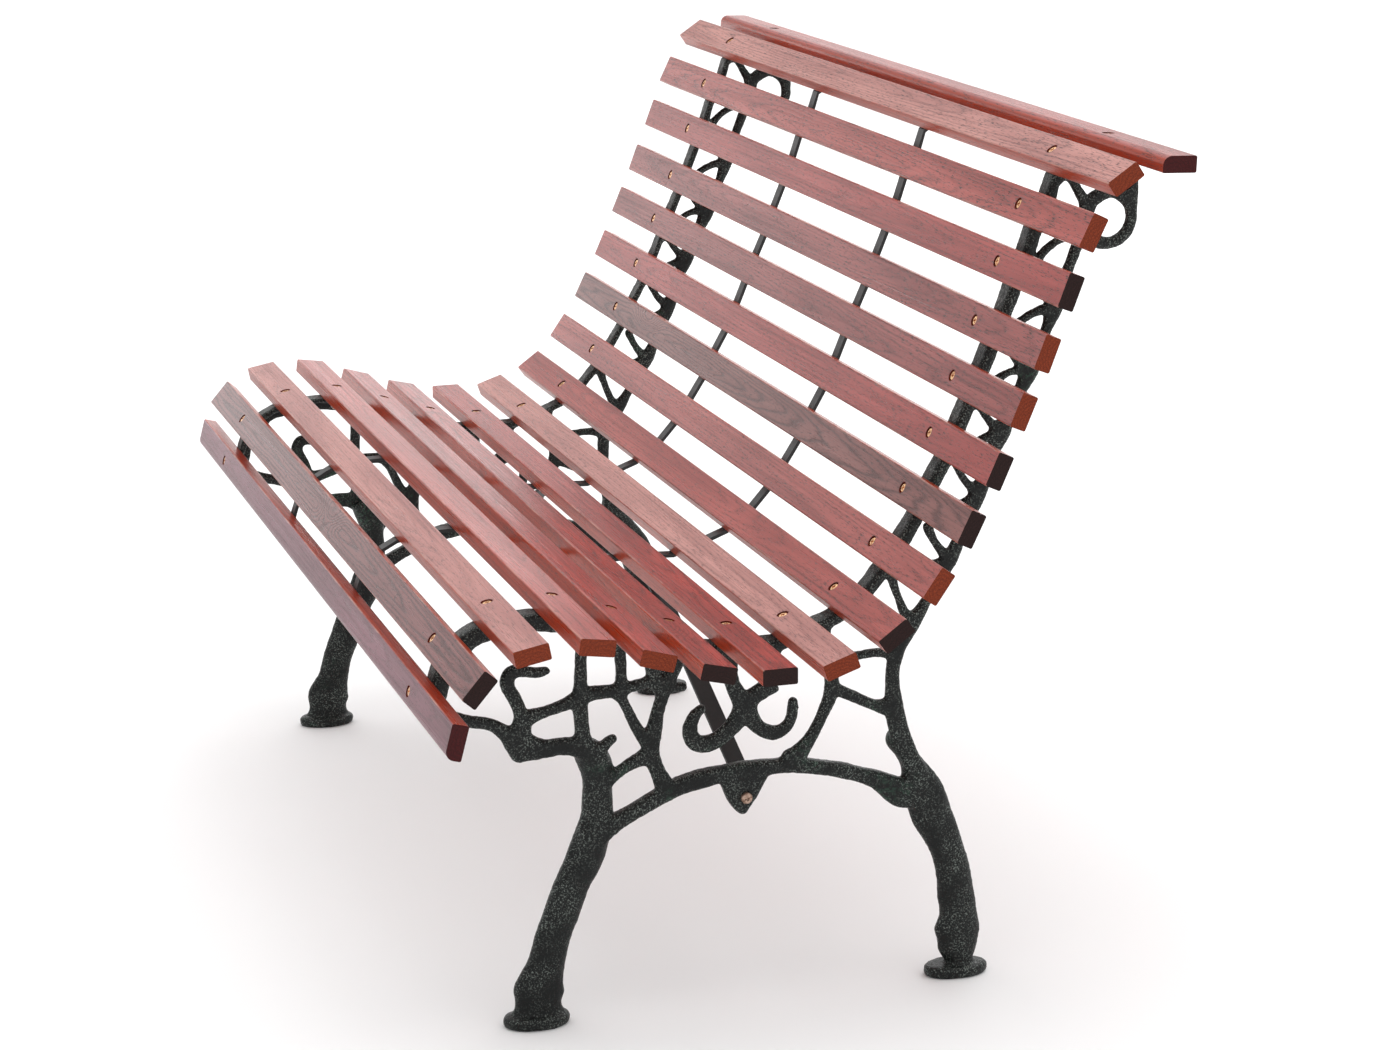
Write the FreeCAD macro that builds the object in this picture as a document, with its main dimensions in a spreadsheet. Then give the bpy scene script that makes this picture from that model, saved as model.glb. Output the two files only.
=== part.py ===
import FreeCAD, Part
import Sketcher
import math
import os

# Garden bench: eighteen timber slats on two cast side frames.
# Millimetres. X runs along the bench, -Y is the front, +Z is up, and the origin is on the ground
# at the middle of the bench's length and depth. "right" and "left" are +X and -X.
# Side views are drawn from a base point that lies middle_y in front of the origin and ground_z below it.

V = FreeCAD.Vector
doc = FreeCAD.newDocument("GardenBench")

# ---------------------------------------------------------------- driving dimensions

DIMENSIONS = {
    # timber slats
    "slat_length": 1500,
    "slat_width": 38,
    "slat_thickness": 18,
    "edge_rounding": 2,
    "nose_rounding": 10,
    # middle of the bench's depth and the ground, from the base point of the side views
    "middle_y": 35.8,
    "ground_z": 3,
    # where the frames and straps stand along the bench
    "bolt_line": 566,
    "strap_line": 190,
    # casting, measured outwards from the bolt line
    "rail_inner": 6,
    "rail_outer": 21,
    "rail_thickness": 6.5,
    "web_inner": 12,
    "web_outer": 21,
    "rail_depth_seat": 19,
    "rail_depth_back": 13,
    "limb_thickness": 24,
    "foot_length": 73,
    "foot_width": 46,
    "foot_height": 12,
    # flat bars
    "strap_width": 17,
    "strap_thickness": 4,
    "brace_width": 20,
    "brace_thickness": 4,
    "brace_clearance": 0.2,
    # slat bolts, their holes, washers and nuts
    "counterbore_diameter": 13,
    "counterbore_depth": 4.5,
    "bolt_hole": 6.6,
    "bolt_diameter": 6,
    "bolt_head_diameter": 11.5,
    "bolt_head_height": 3.6,
    "washer_diameter": 12,
    "washer_thickness": 1.2,
    "nut_across_flats": 10,
    "nut_height": 5,
    "bolt_end_past_nut": 1.5,
    # wood screws that hold the straps
    "wood_screw_diameter": 4,
    "wood_screw_length": 15,
    "wood_screw_head_diameter": 8,
    "wood_screw_head_height": 2.6,
    # lug bolts
    "lug_bolt_diameter": 8,
    "lug_bolt_head_diameter": 13,
    "lug_bolt_head_height": 4.5,
    "lug_nut_across_flats": 13,
    "lug_nut_height": 6.5,
    "lug_bolt_y": -4,
    "lug_bolt_z": 240,
    # cross recess in every bolt head
    "recess_length": 6,
    "recess_width": 1.6,
    "recess_depth": 1.8,
}

# Each slat's place: Y and Z of the middle of its outer face, and its tilt about X in degrees,
# where 0 lies flat with its face up and 90 stands upright with its face to the front.
SLATS = {
    "front_apron_slat": (-370, 390, 75),
    "front_edge_slat": (-343, 446, 49),
    "seat_slat_1": (-283, 480, 11),
    "seat_slat_2": (-212, 482, -8),
    "seat_slat_3": (-147, 462, -16),
    "seat_slat_4": (-83, 442, -13),
    "seat_slat_5": (-19, 433, 0),
    "seat_slat_6": (45, 437, 19),
    "seat_slat_7": (103, 463, 36),
    "back_slat_1": (147, 510, 55),
    "back_slat_2": (182, 567, 64),
    "back_slat_3": (212, 626, 66),
    "back_slat_4": (238, 687, 67),
    "back_slat_5": (263, 746, 69),
    "back_slat_6": (288, 809, 69),
    "back_slat_7": (312, 870, 64),
    "top_front_slat": (350, 927, 34),
    "top_rear_slat": (415, 941, -2),
}
SLAT_NAMES = list(SLATS)

sheet = doc.addObject("Spreadsheet::Sheet", "Dimensions")


def add_cell(row, alias, value):
    sheet.set(f"A{row}", alias)
    sheet.set(f"B{row}", str(value))
    sheet.setAlias(f"B{row}", alias)


cells = dict(DIMENSIONS)
for slat_name, (slat_y, slat_z, slat_tilt) in SLATS.items():
    cells[f"{slat_name}_y"] = slat_y
    cells[f"{slat_name}_z"] = slat_z
    cells[f"{slat_name}_tilt"] = slat_tilt
for row, (alias, value) in enumerate(cells.items(), start=1):
    add_cell(row, alias, value)
doc.recompute()


def dim(alias):
    return float(sheet.get(alias))


# ---------------------------------------------------------------- the line that the slats rest on


def slat_axes(name):
    """Middle of the outer face, direction from front edge to rear edge, outward normal."""
    tilt = math.radians(dim(f"{name}_tilt"))
    middle = V(0, dim(f"{name}_y"), dim(f"{name}_z"))
    along = V(0, math.cos(tilt), math.sin(tilt))
    outward = V(0, -math.sin(tilt), math.cos(tilt))
    return middle, along, outward


def line_below_slats(depth, seat_margin, end_margin):
    """Corners of a line with one straight seat per slat, at a depth below the outer faces.

    A depth is a number, or a function of the slat's name. Each seat is wider than its slat by
    seat_margin at each side, and the first and last by end_margin at the free ends.
    """
    half = dim("slat_width") / 2
    corners = []
    for name in SLAT_NAMES:
        middle, along, outward = slat_axes(name)
        below = depth(name) if callable(depth) else depth
        front = half + (end_margin if name == SLAT_NAMES[0] else seat_margin)
        rear = half + (end_margin if name == SLAT_NAMES[-1] else seat_margin)
        base = middle - outward * below
        corners.append(base - along * front)
        corners.append(base + along * rear)
    return corners


def remove_crossings(corners):
    """Where seats turn towards each other, their corners pass; each such pair becomes one."""
    kept = [corners[0]]
    for first, second in zip(corners[1:-1:2], corners[2:-1:2]):
        step = second - first
        heading = first - kept[-1]
        if step.dot(heading) > 0:
            kept += [first, second]
        else:
            kept.append((first + second) * 0.5)
    return kept + [corners[-1]]


def polygon_face(corners):
    return Part.Face(Part.makePolygon(corners + [corners[0]]))


def prism(face, start, end):
    """A face in the YZ plane made solid from X = start to X = end."""
    moved = face.copy()
    moved.translate(V(start, 0, 0))
    return moved.extrude(V(end - start, 0, 0))


def band_face(top_depth, bottom_depth, end_margin):
    """Side view of a bar that follows the slats, between two depths below their outer faces."""
    top = remove_crossings(line_below_slats(top_depth, 0.5, end_margin))
    bottom = remove_crossings(line_below_slats(bottom_depth, 0.5, end_margin))
    return polygon_face(top + bottom[::-1])


# ---------------------------------------------------------------- features shared by the sub-parts

nodes = []


def keep(label, shape, x_expression="0"):
    """A sub-part whose shape is worked out here, moved along the bench to its own line."""
    feature = doc.addObject("Part::Feature", label)
    feature.Label = label
    feature.Shape = shape
    feature.Placement = FreeCAD.Placement()
    feature.setExpression("Placement.Base.x", x_expression)
    feature.setExpression("Placement.Base.y", "-Dimensions.middle_y")
    feature.setExpression("Placement.Base.z", "-Dimensions.ground_z")
    nodes.append(feature)


def keep_pair(label, shape, line_alias):
    """The right-hand sub-part and its mirror image, each at its own line along the bench."""
    keep(f"{label}_right", shape, f"Dimensions.{line_alias}")
    keep(f"{label}_left", mirrored(shape), f"-Dimensions.{line_alias}")


def origin_plane(body, role):
    for feature in body.Origin.OriginFeatures:
        if feature.Role == role:
            return feature
    raise ValueError(role)


def add_sketch(body, name, role):
    sketch = body.newObject("Sketcher::SketchObject", name)
    sketch.AttachmentSupport = [(origin_plane(body, role), "")]
    sketch.MapMode = "FlatFace"
    return sketch


def fully_bind(sketch, constraint, expression):
    index = sketch.addConstraint(constraint)
    sketch.renameConstraint(index, f"size_{index}")
    sketch.setExpression(f"Constraints.size_{index}", expression)


def mirrored(shape):
    return shape.mirror(V(0, 0, 0), V(1, 0, 0))


# ---------------------------------------------------------------- timber slats


def slat_section(body):
    """Rectangle in the YZ plane: the outer face is on Z = 0 and the timber is below it."""
    half = dim("slat_width") / 2
    deep = dim("slat_thickness")
    corners = [V(-half, 0, 0), V(half, 0, 0), V(half, -deep, 0), V(-half, -deep, 0)]
    sketch = add_sketch(body, f"{body.Name}_section", "YZ_Plane")
    for start, end in zip(corners, corners[1:] + corners[:1]):
        sketch.addGeometry(Part.LineSegment(start, end))
    for line in range(4):
        sketch.addConstraint(Sketcher.Constraint("Coincident", line, 2, (line + 1) % 4, 1))
    for line in (0, 2):
        sketch.addConstraint(Sketcher.Constraint("Horizontal", line))
    for line in (1, 3):
        sketch.addConstraint(Sketcher.Constraint("Vertical", line))
    sketch.addConstraint(Sketcher.Constraint("Symmetric", 0, 1, 0, 2, -1, 1))
    fully_bind(sketch, Sketcher.Constraint("DistanceX", 0, 1, 0, 2, half * 2),
               "Dimensions.slat_width")
    fully_bind(sketch, Sketcher.Constraint("DistanceY", 1, 2, 1, 1, deep),
               "Dimensions.slat_thickness")
    return sketch


def hole_sketch(body, name, radius_expression, radius, line_alias, offset_expression=None):
    """Two circles in the XY plane, one each side of the middle of the slat."""
    sketch = add_sketch(body, name, "XY_Plane")
    for side in (-1, 1):
        centre = V(side * dim(line_alias), 0, 0)
        circle = sketch.addGeometry(Part.Circle(centre, V(0, 0, 1), radius))
        sketch.addConstraint(Sketcher.Constraint("PointOnObject", circle, 3, -1))
        reach = Sketcher.Constraint("DistanceX", -1, 1, circle, 3, side * dim(line_alias))
        sign = "-" if side < 0 else ""
        fully_bind(sketch, reach, f"{sign}Dimensions.{line_alias}")
        fully_bind(sketch, Sketcher.Constraint("Radius", circle, radius), radius_expression)
    if offset_expression:
        sketch.setExpression("AttachmentOffset.Base.z", offset_expression)
    return sketch


def add_pocket(body, name, sketch, depth_expression, upwards):
    before = body.Shape.Volume
    pocket = body.newObject("PartDesign::Pocket", name)
    pocket.Profile = sketch
    pocket.Reversed = upwards
    pocket.setExpression("Length", depth_expression)
    doc.recompute()
    if pocket.Shape.Volume >= before:
        raise RuntimeError(f"{name} cuts nothing")
    return pocket


def edges_along_x(body, wanted):
    """Names of the long edges whose (Y, Z) passes the test."""
    names = []
    for number, edge in enumerate(body.Shape.Edges, start=1):
        start, end = edge.Vertexes[0].Point, edge.Vertexes[-1].Point
        is_long = abs(start.x - end.x) > dim("slat_length") / 2
        if is_long and wanted(start.y, start.z):
            names.append(f"Edge{number}")
    return names


def add_fillet(body, name, edges, alias):
    base = body.Tip
    fillet = body.newObject("PartDesign::Fillet", name)
    fillet.Base = (base, edges)
    fillet.setExpression("Radius", f"Dimensions.{alias}")
    doc.recompute()
    return fillet


def add_slat(name):
    body = doc.addObject("PartDesign::Body", name)
    body.Label = name
    pad = body.newObject("PartDesign::Pad", f"{name}_bar")
    pad.Profile = slat_section(body)
    pad.SideType = "Symmetric"
    pad.setExpression("Length", "Dimensions.slat_length")
    doc.recompute()
    # The apron's lower front edge and the rear top slat's front edge are worn to a large round.
    has_nose = name in ("front_apron_slat", "top_rear_slat")

    def is_nose(y, z):
        return has_nose and y < 0 and z > -1

    if has_nose:
        add_fillet(body, f"{name}_nose", edges_along_x(body, is_nose), "nose_rounding")

    def is_sharp(y, z):
        at_side = abs(abs(y) - dim("slat_width") / 2) < 0.01
        at_face = min(abs(z), abs(z + dim("slat_thickness"))) < 0.01
        return at_side and at_face

    add_fillet(body, f"{name}_edges", edges_along_x(body, is_sharp), "edge_rounding")
    counterbore = hole_sketch(body, f"{name}_counterbore_circles", "Dimensions.counterbore_diameter / 2",
                              dim("counterbore_diameter") / 2, "bolt_line")
    add_pocket(body, f"{name}_counterbores", counterbore, "Dimensions.counterbore_depth", False)
    bore = hole_sketch(body, f"{name}_bore_circles", "Dimensions.bolt_hole / 2",
                       dim("bolt_hole") / 2, "bolt_line")
    add_pocket(body, f"{name}_bores", bore, "Dimensions.slat_thickness + 1", False)
    pilot = hole_sketch(body, f"{name}_pilot_circles", "Dimensions.wood_screw_diameter / 2",
                        dim("wood_screw_diameter") / 2, "strap_line", "-Dimensions.slat_thickness")
    add_pocket(body, f"{name}_pilots", pilot,
               "Dimensions.wood_screw_length - Dimensions.strap_thickness", True)
    body.setExpression("Placement.Base.y", f"Dimensions.{name}_y - Dimensions.middle_y")
    body.setExpression("Placement.Base.z", f"Dimensions.{name}_z - Dimensions.ground_z")
    body.Placement.Rotation = FreeCAD.Rotation(V(1, 0, 0), dim(f"{name}_tilt"))
    nodes.append(body)


for name in SLAT_NAMES:
    add_slat(name)

# ---------------------------------------------------------------- cast side frames

# Branches of the casting's lattice, in side view. Each runs along its points: Y, Z, width.
BRANCHES = {
    # the front: lower limb from the apron back to the trunk, and the knuckle under it
    "lower_limb": [(-345, 375, 13), (-327, 362, 13), (-306, 355, 13), (-286, 350, 13), (-269, 338, 18),
                   (-251, 323, 30), (-235, 318, 23), (-211, 318, 18), (-187, 314, 22), (-171, 298, 28)],
    "knuckle": [(-262, 328, 20), (-255, 315, 20)],
    # the curl that hooks back under the first seat slat
    "curl": [(-253, 334, 22), (-253, 358, 14), (-261, 379, 14), (-267, 395, 15), (-261, 405, 14),
             (-246, 404, 11), (-232, 402, 10), (-225, 403, 9)],
    "rising_branch": [(-253, 348, 18), (-239, 355, 15), (-221, 359, 11), (-204, 364, 12),
                      (-187, 371, 16), (-165, 374, 13), (-147, 374, 13), (-127, 377, 12), (-103, 382, 12)],
    # upright posts from the lattice to the rail
    "first_post": [(-183, 314, 22), (-186, 333, 15), (-187, 350, 14), (-188, 370, 15), (-187, 388, 13),
                   (-186, 408, 12), (-185, 438, 16)],
    "second_post": [(-144, 372, 16), (-142, 388, 11), (-142, 404, 11), (-144, 430, 15)],
    "third_post": [(-98, 358, 13), (-91, 376, 15), (-83, 392, 15), (-75, 412, 18)],
    "third_post_rear": [(-99, 372, 16), (-107, 392, 14), (-109, 420, 16)],
    "bud": [(-91, 372, 11), (-81, 371, 9), (-74, 371, 9)],
    # the slanting branch and the upright beside the large opening
    "slanting_branch": [(-148, 372, 15), (-138, 358, 10), (-132, 343, 10), (-123, 326, 11), (-113, 312, 16)],
    "upright": [(-97, 266, 20), (-104, 282, 16), (-110, 303, 19), (-106, 324, 17), (-102, 344, 13),
                (-97, 360, 13)],
    "trunk_arm": [(-163, 270, 18), (-146, 283, 11), (-131, 291, 13), (-113, 298, 20)],
    "spur": [(-177, 308, 20), (-165, 311, 13), (-154, 320, 10), (-152, 321, 9)],
    # the two scrolls that hang below the seat, and their stem
    "front_scroll": [(-53, 344, 10), (-62, 335, 13), (-66, 321, 16), (-60, 307, 17), (-47, 304, 18),
                     (-30, 311, 17), (-15, 324, 19), (-5, 342, 24)],
    "rear_scroll": [(51, 342, 11), (50, 328, 12), (44, 315, 13), (31, 309, 16), (16, 314, 16),
                    (4, 327, 18), (-2, 344, 24)],
    "stem_front_arm": [(-5, 342, 22), (-11, 356, 18), (-18, 370, 15), (-20, 386, 16), (-22, 408, 20)],
    "stem_rear_arm": [(-1, 342, 22), (10, 356, 17), (23, 366, 16), (27, 384, 15), (30, 408, 20)],
    "stem_spur": [(14, 354, 14), (27, 358, 9), (32, 359, 7)],
    # struts behind the scrolls
    "rear_strut": [(51, 278, 26), (66, 292, 15), (78, 311, 12), (88, 331, 13), (95, 350, 16),
                   (93, 378, 13), (85, 418, 18)],
    "cross_strut": [(95, 354, 16), (109, 347, 12), (123, 340, 11), (139, 332, 11), (157, 326, 18)],
    "upper_strut": [(93, 382, 14), (107, 386, 10), (131, 388, 9), (153, 388, 10), (169, 382, 16)],
}

# The member up the rear of the back, thick where an arm leaves it and slimmer between.
REAR_MEMBER = [(195, 250, 18), (186, 268, 20), (175, 294, 21), (169, 318, 21), (166, 342, 17),
               (166, 362, 15), (168, 380, 16), (174, 396, 17), (185, 413, 18), (201, 437, 12), (216, 462, 12),
               (231, 486, 17), (244, 513, 12), (255, 538, 14), (263, 557, 19), (273, 582, 12),
               (281, 604, 13), (289, 623, 20), (301, 649, 12), (313, 673, 15), (321, 689, 19),
               (332, 715, 12), (343, 741, 13), (350, 759, 18), (359, 785, 12), (369, 811, 12),
               (379, 837, 13), (385, 861, 17)]

# Arms from the rear member forward to the rail: at its node, at its middle, at the rail.
BACK_ARMS = [
    [(186, 417, 14), (173, 446, 8), (165, 469, 10)],
    [(230, 483, 12), (208, 483, 8), (186, 483, 10)],
    [(230, 487, 13), (214, 507, 8), (205, 525, 10)],
    [(263, 555, 12), (242, 547, 8), (218, 545, 10)],
    [(264, 559, 13), (248, 573, 8), (239, 591, 10)],
    [(289, 622, 13), (270, 619, 8), (250, 607, 10)],
    [(289, 625, 14), (274, 639, 8), (265, 655, 10)],
    [(320, 689, 12), (300, 690, 7), (280, 679, 10)],
    [(320, 691, 14), (307, 701, 8), (297, 717, 10)],
    [(348, 757, 12), (323, 752, 8), (303, 739, 10)],
    [(351, 763, 13), (333, 775, 8), (323, 791, 10)],
    [(379, 835, 12), (354, 831, 8), (329, 811, 10)],
    [(385, 867, 14), (375, 882, 9), (365, 901, 12)],
]

# The ring behind the top of the back, and the short arms that tie it to the node and the rail.
RING_CENTRE_Y, RING_CENTRE_Z = 409, 852
RING_RADIUS, RING_WIDTH = 28, 12
RING_ARMS = [
    [(384, 866, 16), (395, 873, 12), (405, 878, 12)],
    [(379, 838, 14), (388, 834, 12), (396, 829, 12)],
    [(437, 862, 13), (438, 884, 12), (433, 908, 14)],
]

# The arch between the legs, and the pointed lug below its crown.
ARCH = [(-176, 212, 30), (-160, 220, 22), (-142, 229, 16), (-124, 238, 15), (-104, 248, 17),
        (-78, 259, 18), (-54, 264, 20), (-30, 268, 17), (-4, 270, 16), (18, 270, 16), (42, 270, 15),
        (66, 267, 15), (90, 262, 15), (110, 257, 16), (131, 250, 16), (148, 243, 19), (164, 232, 26),
        (192, 223, 34)]
LUG_CORNERS = [(-34, 264), (22, 262), (10, 240), (0, 226), (-5, 220), (-9, 221), (-16, 228), (-24, 240)]
ARCH_THICKNESS = 14

# Legs as round-sided limbs: Y, Z, width in side view.
FRONT_LEG = [(-240, 5, 50), (-238, 24, 51), (-238, 34, 53), (-236, 46, 56), (-233, 57, 48),
             (-229, 69, 42), (-223, 92, 39), (-215, 115, 39), (-206, 138, 39), (-197, 161, 38),
             (-190, 174, 39), (-184, 186, 41), (-176, 207, 40), (-169, 238, 34), (-168, 260, 32),
             (-168, 282, 34), (-176, 304, 34), (-184, 316, 24)]
REAR_LEG = [(246, 8, 43), (248, 29, 42), (248, 41, 47), (248, 51, 52), (248, 60, 52), (249, 72, 44),
            (247, 89, 42), (245, 105, 40), (243, 121, 39), (239, 137, 38), (234, 153, 38),
            (227, 170, 41), (219, 186, 45), (212, 204, 47), (204, 226, 44), (194, 250, 28),
            (185, 268, 22), (175, 296, 21)]


def side_point(y, z):
    return V(0, y, z)


def headings(points):
    """Unit direction of a branch at each of its points."""
    found = []
    for index in range(len(points)):
        before = points[max(index - 1, 0)]
        after = points[min(index + 1, len(points) - 1)]
        step = after - before
        found.append(step.normalize())
    return found


def curve_through(points):
    if len(points) == 2:
        return Part.LineSegment(points[0], points[1]).toShape()
    curve = Part.BSplineCurve()
    curve.interpolate(points)
    return curve.toShape()


def branch_face(stations):
    """A branch in side view: smooth sides through its widths, and round ends."""
    middles = [side_point(y, z) for y, z, width in stations]
    halves = [width / 2 for y, z, width in stations]
    left_side, right_side = [], []
    for middle, half, heading in zip(middles, halves, headings(middles)):
        across = V(0, -heading.z, heading.y)
        left_side.append(middle + across * half)
        right_side.append(middle - across * half)
    first, last = headings(middles)[0], headings(middles)[-1]
    end_cap = Part.Arc(left_side[-1], middles[-1] + last * halves[-1], right_side[-1]).toShape()
    start_cap = Part.Arc(right_side[0], middles[0] - first * halves[0], left_side[0]).toShape()
    edges = [curve_through(left_side), end_cap, curve_through(right_side[::-1]), start_cap]
    return Part.Face(Part.Wire(edges))


def ring_face():
    centre = side_point(RING_CENTRE_Y, RING_CENTRE_Z)
    outer = Part.makeCircle(RING_RADIUS + RING_WIDTH / 2, centre, V(1, 0, 0))
    inner = Part.makeCircle(RING_RADIUS - RING_WIDTH / 2, centre, V(1, 0, 0))
    return Part.Face(Part.Wire(outer)).cut(Part.Face(Part.Wire(inner)))


def limb(stations):
    """A leg: oval sections across the limb, skinned."""
    middles = [side_point(y, z) for y, z, width in stations]
    centre_x = dim("web_outer") - dim("limb_thickness") / 2
    sections = []
    for middle, heading, (y, z, width) in zip(middles, headings(middles), stations):
        across = V(0, -heading.z, heading.y)
        wide, deep = width / 2, dim("limb_thickness") / 2
        centre = middle + V(centre_x, 0, 0)
        long_axis, short_axis = (across * wide, V(deep, 0, 0))
        if wide < deep:
            long_axis, short_axis = short_axis, long_axis
        oval = Part.Ellipse(centre + long_axis, centre + short_axis, centre)
        sections.append(Part.Wire(oval.toShape()))
    return Part.makeLoft(sections, True, False)


def foot(y):
    """An oval foot with a rounded rim."""
    centre = V(dim("web_outer") - dim("limb_thickness") / 2, y, dim("ground_z"))
    long_end = centre + V(0, dim("foot_length") / 2, 0)
    short_end = centre - V(dim("foot_width") / 2, 0, 0)
    oval = Part.Face(Part.Wire(Part.Ellipse(long_end, short_end, centre).toShape()))
    disc = oval.extrude(V(0, 0, dim("foot_height")))
    rims = [edge for edge in disc.Edges if edge.BoundBox.ZLength < 0.01]
    return disc.makeFillet(dim("foot_height") * 0.3, rims)


def rail_depth(name):
    at_seat = SLAT_NAMES.index(name) <= SLAT_NAMES.index("seat_slat_2")
    depth = dim("rail_depth_seat") if at_seat else dim("rail_depth_back")
    return dim("slat_thickness") + depth


def seat_trim():
    """Everything above the line that the slats rest on, so that no branch stands past it."""
    top = remove_crossings(line_below_slats(dim("slat_thickness"), 0.5, 60))
    far_out = [V(0, 700, 1100), V(0, -700, 1100), V(0, -700, 300)]
    return polygon_face(top + far_out)


def bolt_axes():
    """For each slat: the point where its bolt crosses the outer face, and the bolt's direction."""
    for name in SLAT_NAMES:
        middle, along, outward = slat_axes(name)
        yield middle, outward * -1


def casting():
    """The right-hand side frame, with X measured from the bolt line."""
    thick = dim("slat_thickness")
    web = band_face(thick, rail_depth, 3)
    lattice = list(BRANCHES.values()) + [REAR_MEMBER] + BACK_ARMS + RING_ARMS
    faces = [branch_face(stations) for stations in lattice] + [ring_face()]
    web = web.multiFuse(faces).cut(seat_trim())
    web_solid = prism(web.removeSplitter(), dim("web_inner"), dim("web_outer"))
    flange = prism(band_face(thick, thick + dim("rail_thickness"), 3),
                   -dim("rail_inner"), dim("rail_outer"))
    lug = polygon_face([side_point(y, z) for y, z in LUG_CORNERS])
    arch = branch_face(ARCH).fuse(lug).removeSplitter()
    arch_solid = prism(arch, dim("web_outer") - ARCH_THICKNESS, dim("web_outer"))
    lug_face_x = dim("web_outer") - ARCH_THICKNESS
    frame = web_solid.multiFuse([flange, arch_solid, limb(FRONT_LEG), limb(REAR_LEG),
                                 foot(FRONT_LEG[0][0]), foot(REAR_LEG[0][0])])
    holes = []
    for point, inward in bolt_axes():
        holes.append(Part.makeCylinder(dim("bolt_hole") / 2, 60, point, inward))
        seat = point + inward * (thick + dim("rail_thickness"))
        holes.append(Part.makeCylinder(dim("washer_diameter") / 2 + 0.6, 14, seat, inward))
    holes.append(Part.makeCylinder(dim("lug_bolt_diameter") / 2 + 0.3, 60,
                                   V(lug_face_x - 20, dim("lug_bolt_y"), dim("lug_bolt_z")), V(1, 0, 0)))
    below_ground = Part.makeBox(200, 1200, 50, V(-100, -600, dim("ground_z") - 50))
    return frame.cut(Part.makeCompound(holes)).cut(below_ground)


keep_pair("side_frame", casting(), "bolt_line")

# ---------------------------------------------------------------- straps and braces


def strap():
    """A flat bar that follows the slats, drilled for a wood screw under each."""
    thick, bar = dim("slat_thickness"), dim("strap_thickness")
    half = dim("strap_width") / 2
    bar_solid = prism(band_face(thick, thick + bar, -6), -half, half)
    radius, head_radius = dim("wood_screw_diameter") / 2, dim("wood_screw_head_diameter") / 2
    holes = []
    for point, inward in bolt_axes():
        underside = point + inward * (thick + bar)
        holes.append(Part.makeCylinder(radius, 60, point, inward))
        holes.append(Part.makeCone(head_radius, radius, dim("wood_screw_head_height"), underside, inward * -1))
    holes.append(brace_screw_cutter())
    return bar_solid.cut(Part.makeCompound(holes))


def strap_top_z():
    """Height of the strap's upper face under the lowest seat slat, which lies level."""
    return dim("seat_slat_5_z") - dim("slat_thickness")


def brace_top_z():
    """Height of the brace's upper tab, just under the strap."""
    return strap_top_z() - dim("strap_thickness") - dim("brace_clearance")


def brace_screw_cutter():
    """The countersunk hole that joins a strap to its brace."""
    y, top = dim("lug_bolt_y"), strap_top_z()
    radius = dim("bolt_hole") / 2
    hole = Part.makeCylinder(radius, 30, V(0, y, top - 25), V(0, 0, 1))
    sink = Part.makeCone(radius, 2 * radius, radius, V(0, y, top - radius), V(0, 0, 1))
    return hole.fuse(sink)


def brace():
    """A flat bar: upright tab on the lug, slope up to the strap, level tab under the strap.

    X is measured from the bolt line.
    """
    lug_x = dim("web_outer") - ARCH_THICKNESS
    strap_x = dim("strap_line") - dim("bolt_line")
    top = brace_top_z()
    y, low = dim("lug_bolt_y"), dim("lug_bolt_z")
    # Upper face of the bar, from the foot of the lower tab to the end of the upper one.
    outline = [V(lug_x, y, low - 14), V(lug_x, y, low + 18), V(lug_x - 10, y, low + 26),
               V(strap_x + 38, y, top - 6), V(strap_x + 24, y, top), V(strap_x - 14, y, top)]
    face = polygon_face(outline + other_side(outline, dim("brace_thickness"))[::-1])
    face.translate(V(0, -dim("brace_width") / 2, 0))
    solid = face.extrude(V(0, dim("brace_width"), 0))
    lug_hole = Part.makeCylinder(dim("lug_bolt_diameter") / 2 + 0.3, 40, V(lug_x - 20, y, low), V(1, 0, 0))
    tab_hole = Part.makeCylinder(dim("bolt_hole") / 2, 40, V(strap_x, y, top - 20), V(0, 0, 1))
    return solid.cut(lug_hole).cut(tab_hole)


def other_side(outline, thickness):
    """The other face of a bar bent along an outline in the XZ plane."""
    inner = []
    for index, corner in enumerate(outline):
        normals = []
        for start, end in ((index - 1, index), (index, index + 1)):
            if start < 0 or end >= len(outline):
                continue
            run = outline[end] - outline[start]
            normals.append(V(-run.z, 0, run.x).normalize())
        bisector = sum(normals[1:], normals[0]).normalize()
        inner.append(corner + bisector * (thickness / bisector.dot(normals[0])))
    return inner


keep_pair("slat_strap", strap(), "strap_line")
keep_pair("brace", brace(), "bolt_line")

# ---------------------------------------------------------------- fasteners


def cross_recess(height):
    """Cutter for a cross-recess drive in the top of a head at Z = height, turned 20 degrees."""
    length, width, depth = dim("recess_length"), dim("recess_width"), dim("recess_depth")
    blade = Part.makeBox(length, width, depth + 1, V(-length / 2, -width / 2, height - depth))
    other = Part.makeBox(width, length, depth + 1, V(-width / 2, -length / 2, height - depth))
    cross = blade.fuse(other)
    cross.rotate(V(0, 0, 0), V(0, 0, 1), 20)
    return cross


def pan_head(diameter, height):
    """A head that stands on Z = 0, with a domed top and a cross recess."""
    head = Part.makeCylinder(diameter / 2, height)
    head = head.makeFillet(height * 0.55, [edge for edge in head.Edges if edge.BoundBox.ZMin > height / 2])
    return head.cut(cross_recess(height))


def bolt(diameter, length, head_diameter, head_height):
    """A bolt down the -Z axis, with the underside of its head on Z = 0."""
    shank = Part.makeCylinder(diameter / 2, length, V(0, 0, -length))
    tip = [edge for edge in shank.Edges if edge.BoundBox.ZMax < -length / 2]
    shank = shank.makeChamfer(diameter * 0.12, tip)
    return pan_head(head_diameter, head_height).fuse(shank)


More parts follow.
